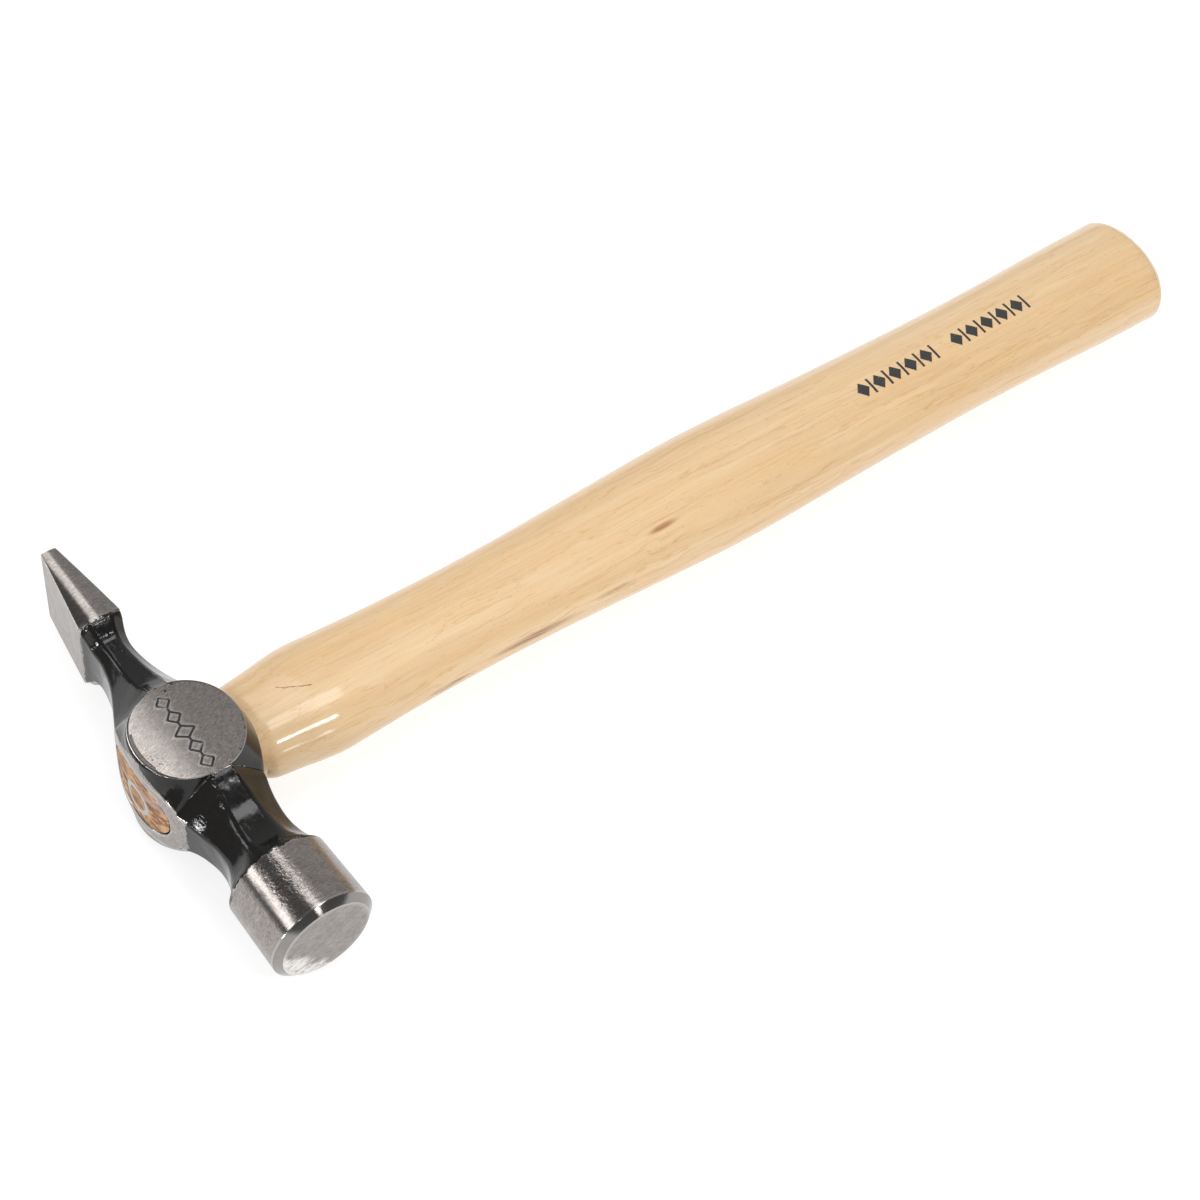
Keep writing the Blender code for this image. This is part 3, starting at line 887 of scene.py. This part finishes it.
STEEL_DARK = colour(0.205, 0.187, 0.175)
STEEL_LIGHT = colour(0.415, 0.380, 0.358)
# painted highlight: lighter steel for the sharp edges
STEEL_EDGE_HIGHLIGHT = colour(0.60, 0.58, 0.56)
# painted reflection: lighter steel for the crescent on the rubbed face
STEEL_RUBBED_SHEEN = colour(0.80, 0.77, 0.74)
STEEL_CHAMFER = colour(0.250, 0.236, 0.226)
RUST = colour(0.14, 0.09, 0.055)
DOT_BLACK = colour(0.03, 0.028, 0.026)
LACQUER_DARK = colour(0.0075, 0.007, 0.0068)
LACQUER_LIGHT = colour(0.0130, 0.0122, 0.0115)
# painted shade: near black for the inside of the engraved grooves
GROOVE_SHADE = colour(0.022, 0.021, 0.020)

GRIND_TURN = math.radians(-15.7)  # the grinding marks lie this far off the Y axis

FACE_TURN = 0.5  # and those on the face this far, in radians
SHEEN_SIDE = (-0.78, -0.62)  # the face is painted lighter on this side, along Y and Z: a painted reflection over the rubbed steel
SHEEN_REACH = (5.2, 8.0)  # from faint to full, in mm from the middle
CHAMFER_BLEND = 0.15

# Patches of the head: middle and half sizes.
PIT_ZONE = ((4.5, -10.8, CHEEK_Z), (6.5, 3.0, 2.5))
CHEEK_DOT = ((-12.1, 0.8, CHEEK_Z), (0.45, 0.35, 1.0))
WORKED_BARREL = ((43.5, -3.6, 12.3), (12.0, 6.5, 6.0))
# Places where the lacquer has run thick and rough: middle and half sizes.
CRUSTS = [((17.6, -8.6, 6.9), (2.6, 2.2, 2.6)), ((6.6, -12.9, 12.4), (2.4, 1.0, 1.6)),
          ((14.8, -2.8, 13.6), (1.4, 1.0, 1.6)), ((-37.2, -1.6, 8.9), (1.8, 3.4, 2.0)),
          ((33.2, -6.0, 8.0), (2.6, 4.5, 3.5)), ((26.5, -5.0, 9.2), (6.5, 1.7, 1.8)),
          ((19.0, -3.2, 11.2), (1.8, 1.4, 1.6))]


# Depths of the bumps, in mm.
DENT_BUMP = 0.022
CRUST_BUMP = 0.085
WORKED_BUMP = 0.17
GRAIN_BUMP = 0.004
LACQUER_BUMP = 0.03


def lacquer_cover(p, ridge):
    """1 under the lacquer, 0 on bare steel, with a ragged edge and chips on the ridges."""
    ragged = p.noise((1.1, 0.55, 0.55), detail=5.0, roughness=0.65)
    edge = p.plus(p.attribute("lacquer"), p.ramp(ragged, 0.25, 0.75, -0.75, 0.75, "LINEAR"))
    chips = p.noise((1.5, 1.5, 1.5), detail=6.0, roughness=0.75)
    chipped = p.ramp(p.times(chips, ridge), 0.50, 0.54)
    return p.minus(p.ramp(edge, -0.02, 0.05), chipped, clamp=True)


def ground_steel(p, grain, mottle, ridge, on_face, on_chamfer):
    """The bare steel's colour: grinding marks, painted highlights on the ridges, a painted reflection
    on the rubbed face, chamfer, pits and a dot.
    """
    speck = p.noise((3.2, 3.2, 3.2), roughness=0.7)
    shine = p.plus(p.spread(grain, -0.42, 0.42), p.spread(mottle, -0.12, 0.12))
    shine = p.plus(shine, p.spread(speck, -0.28, 0.28))
    steel = p.mix(p.plus(shine, 0.5, clamp=True), STEEL_DARK, STEEL_LIGHT)
    # Painted reflection: the face is painted lighter in a crescent towards one side, broken by rubbed
    # scratches.
    wear_and_sheen = p.plus(p.times(p.y, SHEEN_SIDE[0]), p.times(p.z, SHEEN_SIDE[1]))
    wear_and_sheen = p.plus(wear_and_sheen, p.spread(mottle, -1.6, 1.6))
    scratch = p.noise((1.0, 0.5, 2.4), turn=FACE_TURN, detail=4.0, roughness=0.7)
    rubbed_sheen = p.times(p.ramp(wear_and_sheen, *SHEEN_REACH), on_face, p.ramp(scratch, 0.36, 0.50))
    # Painted highlight: the steel is painted lighter along sharp edges.
    steel = p.mix(p.times(ridge, 0.45), steel, STEEL_EDGE_HIGHLIGHT)
    steel = p.mix(rubbed_sheen, steel, STEEL_RUBBED_SHEEN)
    steel = p.mix(p.times(on_chamfer, 0.9), steel, STEEL_CHAMFER)
    pits = p.ramp(p.spots((1.1, 1.1, 1.1)), 0.34, 0.16)
    steel = p.mix(p.times(pits, p.patch(*PIT_ZONE, 0.7)), steel, RUST)
    return p.mix(p.patch(*CHEEK_DOT, 0.5), steel, DOT_BLACK)


def head_relief(p, painted, bare, ridge, grain, on_cheek):
    """Dents and crusts in the lacquer, the worked barrel, grinding marks, the lacquer's step."""
    dents = p.noise((0.75, 0.75, 0.75), roughness=0.6)
    normal = p.bump(p.times(dents, painted), DENT_BUMP)
    crackle = p.noise((1.5, 1.5, 1.5), detail=2.0, roughness=0.6)
    crusted = ridge
    for centre, reach in CRUSTS:
        crusted = p.math("MAXIMUM", crusted, p.patch(centre, reach, 0.8))
    normal = p.bump(p.times(crackle, crusted, painted), CRUST_BUMP, normal)
    swells = p.noise((1.3, 0.75, 0.75), turn=FACE_TURN, roughness=0.6)
    worked = p.math("MAXIMUM", p.patch(*WORKED_BARREL, 0.7), 0.07)
    worked = p.times(worked, p.minus(bare, on_cheek, clamp=True))
    normal = p.bump(p.times(swells, worked), WORKED_BUMP, normal)
    scored = p.times(bare, p.blend(on_cheek, 1.0, 0.2))
    normal = p.bump(p.times(grain, scored), GRAIN_BUMP, normal)
    return p.bump(painted, LACQUER_BUMP, normal)


def steel_material():
    """Ground steel where the head is bare, glossy black lacquer over forged steel elsewhere."""
    p = Paint("forged_steel")
    ridge = p.attribute("ridge")
    mark = p.attribute("mark")
    painted = lacquer_cover(p, ridge)
    bare = p.minus(1.0, painted)
    on_cheek = p.ramp(p.size(p.z), 14.2, 14.5)
    on_face = p.ramp(p.x, CHAMFER_X + 0.2, CHAMFER_X + 0.4)
    on_chamfer = p.times(p.ramp(p.x, CHAMFER_X, CHAMFER_X + CHAMFER_BLEND),
                         p.ramp(p.x, FACE_X - 0.16, FACE_X - 0.26))

    slanted = p.noise((4.2, 0.75, 0.8), turn=GRIND_TURN, detail=4.0, roughness=0.65)
    turned = p.noise((3.6, 0.9, 0.9), detail=4.0, roughness=0.65)
    fine = p.noise((1.0, 0.5, 4.0), turn=FACE_TURN)
    grain = p.blend(on_cheek, turned, slanted)
    grain = p.blend(p.times(on_face, 0.8), grain, fine)
    mottle = p.noise((0.45, 0.3, 0.3), detail=4.0, roughness=0.55)
    grime = p.noise((0.7, 0.7, 0.7))

    steel = ground_steel(p, grain, mottle, ridge, on_face, on_chamfer)
    surface = p.mix(painted, steel, p.mix(grime, LACQUER_DARK, LACQUER_LIGHT))
    # Painted shade: the engraved grooves are painted near black, for the shade in them.
    surface = p.mix(mark, surface, GROOVE_SHADE)
    rough = p.plus(p.spread(grain, 0.215, 0.265), p.spread(mottle, 0.02, -0.02))
    rough = p.times(rough, p.blend(on_cheek, 1.0, 0.85))
    rough = p.blend(on_chamfer, rough, 0.14)
    rough = p.blend(painted, rough, p.spread(grime, 0.06, 0.13))
    rough = p.blend(mark, rough, 0.55)
    tangent = p.add("CombineXYZ", {"X": 1.0, "Z": 0.15})["Vector"]
    return p.finished({
        "Base Color": surface, "Metallic": p.times(bare, p.minus(1.0, mark)),
        "Roughness": rough, "Normal": head_relief(p, painted, bare, ridge, grain, on_cheek),
        "Anisotropic": 0.94, "Tangent": tangent, "Specular IOR Level": 0.36})


WOOD_DARK = colour(0.69, 0.435, 0.21)
WOOD_LIGHT = colour(0.835, 0.62, 0.37)
WOOD_WARM = colour(0.80, 0.53, 0.25)
GROWTH_BROWN = colour(0.62, 0.33, 0.13)
CRACK_BROWN = colour(0.30, 0.12, 0.045)
PORE_BROWN = colour(0.36, 0.20, 0.085)
RED_BROWN = colour(0.42, 0.17, 0.07)
STREAK_BROWN = colour(0.33, 0.15, 0.065)
END_DARK = colour(0.19, 0.085, 0.038)
END_LIGHT = colour(0.56, 0.33, 0.155)
END_PORE = colour(0.17, 0.075, 0.04)
END_STAIN = colour(0.15, 0.052, 0.02)
PRINT_BLACK = colour(0.020, 0.019, 0.020)
GRAIN_TURN = 0.012  # the wood's grain lies this far off its axis
END_GRAIN_Y = (-9.0, -12.5)  # the end grain begins and is complete here

# Patches of the handle: middle and half sizes.
RED_STREAK = ((8.7, 129.0, 9.0), (1.0, 6.2, 3.0))
BROWN_STREAKS = [((13.9, 87.0, 1.0), (2.2, 17.0, 1.6)), ((13.9, 112.0, 2.6), (2.2, 9.0, 1.0)),
                 ((13.5, 62.0, -0.5), (2.2, 9.0, 1.3))]


def end_grain(p):
    """The colour of the wood cut across, in the eye."""
    rings = p.noise((0.30, 0.2, 0.9), detail=5.0, roughness=0.6, distortion=0.8)
    pores = p.ramp(p.spots((1.5, 0.6, 2.2)), 0.34, 0.14)
    wood = p.mix(p.ramp(rings, 0.40, 0.58), END_DARK, END_LIGHT)
    wood = p.mix(p.times(pores, 0.7), wood, END_PORE)
    stains = p.noise((0.18, 0.2, 0.45), roughness=0.6)
    return p.mix(p.ramp(stains, 0.50, 0.60, 0.0, 0.8), wood, END_STAIN)


def wood_material():
    """Pale lacquered hickory, with orange end grain in the eye and a printed ornament."""
    p = Paint("lacquered_hickory")
    drift = p.add("TexNoise", {"Vector": p.stretch((0.05, 0.012, 0.05))})
    warped = p.vector("ADD", p.place, p.scaled(drift["Color"], 2.5))
    bands = p.noise((0.25, 0.006, 0.25), GRAIN_TURN, warped, roughness=0.55)
    streaks = p.noise((1.3, 0.022, 1.3), GRAIN_TURN, warped, detail=4.0, roughness=0.6)
    fibres = p.noise((5.0, 0.12, 5.0), roughness=0.6)
    chatter = p.noise((0.9, 2.6, 0.9), detail=2.0)
    tone = p.plus(p.spread(bands, 0.0, 0.55), p.spread(streaks, 0.05, 0.40))
    tone = p.plus(tone, p.spread(fibres, -0.09, 0.09))
    tone = p.plus(tone, p.spread(chatter, -0.07, 0.07), clamp=True)
    wood = p.mix(tone, WOOD_DARK, WOOD_LIGHT)
    wood = p.mix(p.ramp(drift["Fac"], 0.45, 0.7, 0.0, 0.35), wood, WOOD_WARM)
    growth = p.noise((0.55, 0.006, 0.55), GRAIN_TURN, warped, detail=4.0)
    growth = p.size(p.minus(growth, 0.5))
    wood = p.mix(p.ramp(growth, 0.018, 0.0, 0.0, 0.55), wood, GROWTH_BROWN)
    wood = p.mix(crack_mask(p), wood, CRACK_BROWN)

    pores = p.ramp(p.spots((2.2, 0.35, 2.2)), 0.16, 0.07)
    pore_zone = p.ramp(p.noise((0.15, 0.05, 0.15)), 0.48, 0.62)
    wood = p.mix(p.times(pores, pore_zone, 0.55), wood, PORE_BROWN)
    red = p.times(p.patch(*RED_STREAK, 0.8), p.ramp(streaks, 0.28, 0.48, 0.25, 1.0))
    wood = p.mix(red, wood, RED_BROWN)
    for centre, reach in BROWN_STREAKS:
        brown = p.times(p.patch(centre, reach, 0.8), p.ramp(streaks, 0.34, 0.54))
        wood = p.mix(brown, wood, STREAK_BROWN)

    in_eye = p.ramp(p.y, *END_GRAIN_Y)
    wood = p.mix(in_eye, wood, end_grain(p))
    wood = p.mix(print_mask(p), wood, PRINT_BLACK)
    waves = p.noise((0.4, 0.10, 0.4), detail=2.0)
    return p.finished({
        "Base Color": wood, "Roughness": p.blend(in_eye, p.spread(fibres, 0.34, 0.46), 0.7),
        "Normal": p.bump(fibres, 0.004, p.bump(waves, 0.035)), "Coat Roughness": 0.07,
        "Coat Weight": p.ramp(p.y, END_GRAIN_Y[1], END_GRAIN_Y[0], 0.0, 0.65)})


PRINT_START_Y = 198.6
PRINT_PITCH = 5.6  # one diamond and one bar
PRINT_COUNT = 11
PRINT_GAP = 5  # the unit that is left out
PRINT_HALF_HEIGHT = 2.5
PRINT_X = (2.3, 1.5)  # its middle, at the start and at the end
PRINT_DIAMOND = (0.36, 0.37)  # middle and half length, as shares of the pitch
PRINT_BAR = (0.87, 0.065)
CRACKS = [((-2.6, 23.6), (-0.7, 25.8)), ((-1.1, 25.4), (0.4, 28.2)), ((0.3, 27.8), (1.9, 31.2))]
CRACK_WANDER = 0.14
CRACK_HALF_WIDTH = (0.24, 0.06)  # where it fades out and where it is full
CRACK_END = 0.5  # it thins out over this length


def crack_mask(p):
    """Short hairline cracks on top of the handle, close to the head."""
    total = 0.0
    wander = p.spread(p.noise((1.2, 1.2, 1.2), detail=2.0), -CRACK_WANDER, CRACK_WANDER)
    for (start_x, start_y), (end_x, end_y) in CRACKS:
        length = math.hypot(end_x - start_x, end_y - start_y)
        along_x, along_y = (end_x - start_x) / length, (end_y - start_y) / length
        x = p.minus(p.x, start_x)
        y = p.minus(p.y, start_y)
        reach = p.plus(p.times(x, along_x), p.times(y, along_y))
        side = p.minus(p.times(x, along_y), p.times(y, along_x))
        side = p.size(p.plus(side, wander))
        line = p.ramp(side, *CRACK_HALF_WIDTH, 0.0, 0.85)
        inside = p.ramp(p.size(p.minus(reach, length / 2)),
                        length / 2, length / 2 - CRACK_END)
        total = p.math("MAXIMUM", p.times(line, inside), total)
    return p.times(total, p.math("GREATER_THAN", p.z, 0.0))


def print_mask(p):
    """Two groups of printed diamonds and bars on top of the handle, near the butt."""
    end_y = PRINT_START_Y + PRINT_COUNT * PRINT_PITCH
    across = p.minus(p.x, p.ramp(p.y, PRINT_START_Y, end_y, *PRINT_X, "LINEAR"))
    height = p.size(p.math("DIVIDE", across, PRINT_HALF_HEIGHT))
    turns = p.math("DIVIDE", p.minus(p.y, PRINT_START_Y), PRINT_PITCH)
    unit = p.math("FLOOR", turns)
    turns = p.math("FRACT", turns)
    to_diamond, to_bar = (
        p.math("DIVIDE", p.size(p.minus(turns, middle)), half_length)
        for middle, half_length in (PRINT_DIAMOND, PRINT_BAR))
    diamond = p.ramp(p.plus(to_diamond, height), 1.04, 0.96)
    upright = p.ramp(p.math("MAXIMUM", to_bar, height), 1.06, 0.96)
    mark = p.math("MAXIMUM", diamond, upright)
    inside = p.times(p.math("GREATER_THAN", p.y, PRINT_START_Y), p.math("LESS_THAN", p.y, end_y))
    in_gap = p.math("LESS_THAN", p.size(p.minus(unit, PRINT_GAP)), 0.5)
    inside = p.minus(inside, in_gap, clamp=True)
    inside = p.times(inside, p.math("GREATER_THAN", p.z, 0.0))
    wear_and_sheen = p.ramp(p.noise((2.5, 2.5, 2.5), detail=4.0), 0.22, 0.34)
    return p.times(mark, inside, wear_and_sheen)


def wedge_material():
    """Greyish-pink hardwood, cut across its fibres."""
    p = Paint("wedge_hardwood")
    fibres = p.noise((0.5, 0.5, 3.2), detail=4.0, roughness=0.6)
    blots = p.noise((0.35, 0.35, 0.35))
    wood = p.mix(p.ramp(fibres, 0.35, 0.65), colour(0.23, 0.135, 0.10), colour(0.42, 0.285, 0.225))
    wood = p.mix(p.ramp(blots, 0.5, 0.7, 0.0, 0.6), wood, colour(0.17, 0.08, 0.05))
    return p.finished({"Base Color": wood, "Roughness": p.ramp(fibres, 0.3, 0.7, 0.5, 0.65),
                       "Normal": p.bump(fibres, 0.03)})


def ring_material():
    """Dull steel, smeared by the same grinding as the crown."""
    p = Paint("wedge_steel")
    grain = p.noise((1.2, 1.2, 6.0), detail=4.0, roughness=0.6)
    steel = p.mix(grain, colour(0.34, 0.335, 0.34), colour(0.52, 0.51, 0.51))
    return p.finished({"Base Color": steel, "Metallic": 1.0, "Normal": p.bump(grain, 0.004),
                       "Roughness": p.ramp(grain, 0.3, 0.7, 0.30, 0.42)})


FLOOR_HALF = 3.0  # metres
FLOOR_GREY = colour(0.32, 0.32, 0.32)
FLOOR_GLOW = 0.78


def floor_material():
    """A matt white studio table, lit a little from below."""
    p = Paint("studio_table")
    grain = p.add("TexNoise", {"Scale": 40.0})["Fac"]
    rough = p.add("MapRange", {"Value": grain, "To Min": 0.70, "To Max": 0.75})["Result"]
    return p.finished({
        "Roughness": rough, "Base Color": FLOOR_GREY, "Specular IOR Level": 0.2,
        "Emission Color": colour(1.0, 1.0, 1.0), "Emission Strength": FLOOR_GLOW})


# ---------------------------------------------------------------- studio


def direction(azimuth, elevation):
    """A unit vector, by its angle round Z from +X and its angle above the floor."""
    a, e = math.radians(azimuth), math.radians(elevation)
    return Vector((math.cos(e) * math.cos(a), math.cos(e) * math.sin(a), math.sin(e)))


def across_head(lean, rise):
    """A direction leaning this far towards -X, risen this far from -Y over the head to +Y."""
    a, e = math.radians(lean), math.radians(rise)
    return Vector((-math.sin(a), -math.cos(a) * math.cos(e), math.cos(a) * math.sin(e)))


def panel(name, towards, distance, spread, radiance, aim):
    """A soft light facing aim, seen from there in this direction; spread is its half angles.

    Its first half angle lies along X and its second across it.
    """
    width, height = (2 * distance * math.tan(math.radians(angle)) for angle in spread)
    light = bpy.data.lights.new(name, "AREA")
    light.shape = "RECTANGLE"
    light.size = width
    light.size_y = height
    light.energy = radiance * math.pi * width * height
    obj = new_object(name, light)
    right = (Vector((1, 0, 0)) - towards * towards.x).normalized()
    rotation = Matrix((right, towards.cross(right), towards)).transposed()
    obj.matrix_world = Matrix.Translation(aim + towards * distance) @ rotation.to_4x4()
    return obj


def make_studio():
    corners = [(sx * FLOOR_HALF, sy * FLOOR_HALF, 0)
               for sx, sy in ((-1, -1), (1, -1), (1, 1), (-1, 1))]
    mesh = bpy.data.meshes.new("studio_floor")
    mesh.from_pydata(corners, [], [(0, 1, 2, 3)])
    mesh.materials.append(floor_material())
    floor = new_object("studio_floor", mesh)
    floor.location.z = CAD_BOX[0][2]

    head = place(0, 0, CHEEK_Z)
    middle = place(0, 120, 0)
    panel("cheek_softbox", across_head(30, 97.3), 1.3, (20, 7.2), 2.1, head)
    panel("crown_softbox", across_head(32.5, 32.5), 1.2, (25, 7.5), 4.0, head)
    panel("key_lamp", direction(9, 49), 1.5, (3.3, 6.8), 27.0, middle)
    panel("chamfer_lamp", direction(8, 20), 1.5, (3.0, 3.0), 9.0, head)
    panel("side_lamp", direction(-80, 12), 1.5, (5.0, 4.0), 45.0, head)
    panel("ridge_lamp", direction(-42, 42), 1.5, (1.8, 1.8), 22.0, head)
    panel("top_softbox", direction(64, 78), 1.6, (8, 9), 5.5, middle)
    for fill in (panel("front_fill", direction(-12, 16), 1.7, (14, 30), 0.62, place(0, 150, 0)),
                 panel("ceiling_fill", Vector((0, 0, 1)), 2.2, (34, 34), 0.72, place(0, 210, 0))):
        fill.visible_glossy = False
    make_world()


BRIGHT_SIDE = direction(125, 25)


def make_world():
    """A dim room, lighter on the handle's side."""
    world = bpy.data.worlds.new("studio_room")
    bpy.context.scene.world = world
    world.use_nodes = True
    tree = world.node_tree
    view = add_node(tree, "TexCoord", {})["Generated"]
    nearness = add_node(tree, "VectorMath", {0: view, 1: tuple(BRIGHT_SIDE)},
                        operation="DOT_PRODUCT")["Value"]
    inputs = {"Value": nearness, "From Min": 0.6, "From Max": 1.0, "To Min": 0.17, "To Max": 0.60}
    light = add_node(tree, "MapRange", inputs, interpolation_type="SMOOTHSTEP")["Result"]
    background = tree.nodes["Background"]
    feed(tree, background.inputs["Color"], light)
    background.inputs["Strength"].default_value = 1.0


CAMERA_PLACE = (279.0, -147.5, 461.9)  # from the head's centre
CAMERA_FORWARD = (-0.4501, 0.4309, -0.7821)
CAMERA_UP = (-0.6559, 0.4348, 0.6170)
CAMERA_LENS = 72.53
CAMERA_SENSOR = 36.0


def make_camera():
    data = bpy.data.cameras.new("camera")
    data.lens = CAMERA_LENS
    data.sensor_width = CAMERA_SENSOR
    data.clip_start = 0.01
    camera = new_object("camera", data)
    forward = Vector(CAMERA_FORWARD).normalized()
    right = forward.cross(Vector(CAMERA_UP)).normalized()
    up = right.cross(forward)
    rotation = Matrix((right, up, -forward)).transposed()
    camera.matrix_world = Matrix.Translation(place(*CAMERA_PLACE)) @ rotation.to_4x4()
    bpy.context.scene.camera = camera
    bpy.context.scene.view_settings.view_transform = "Standard"


def main():
    make_camera()
    make_head()
    make_handle()
    make_wedges()
    make_studio()


main()
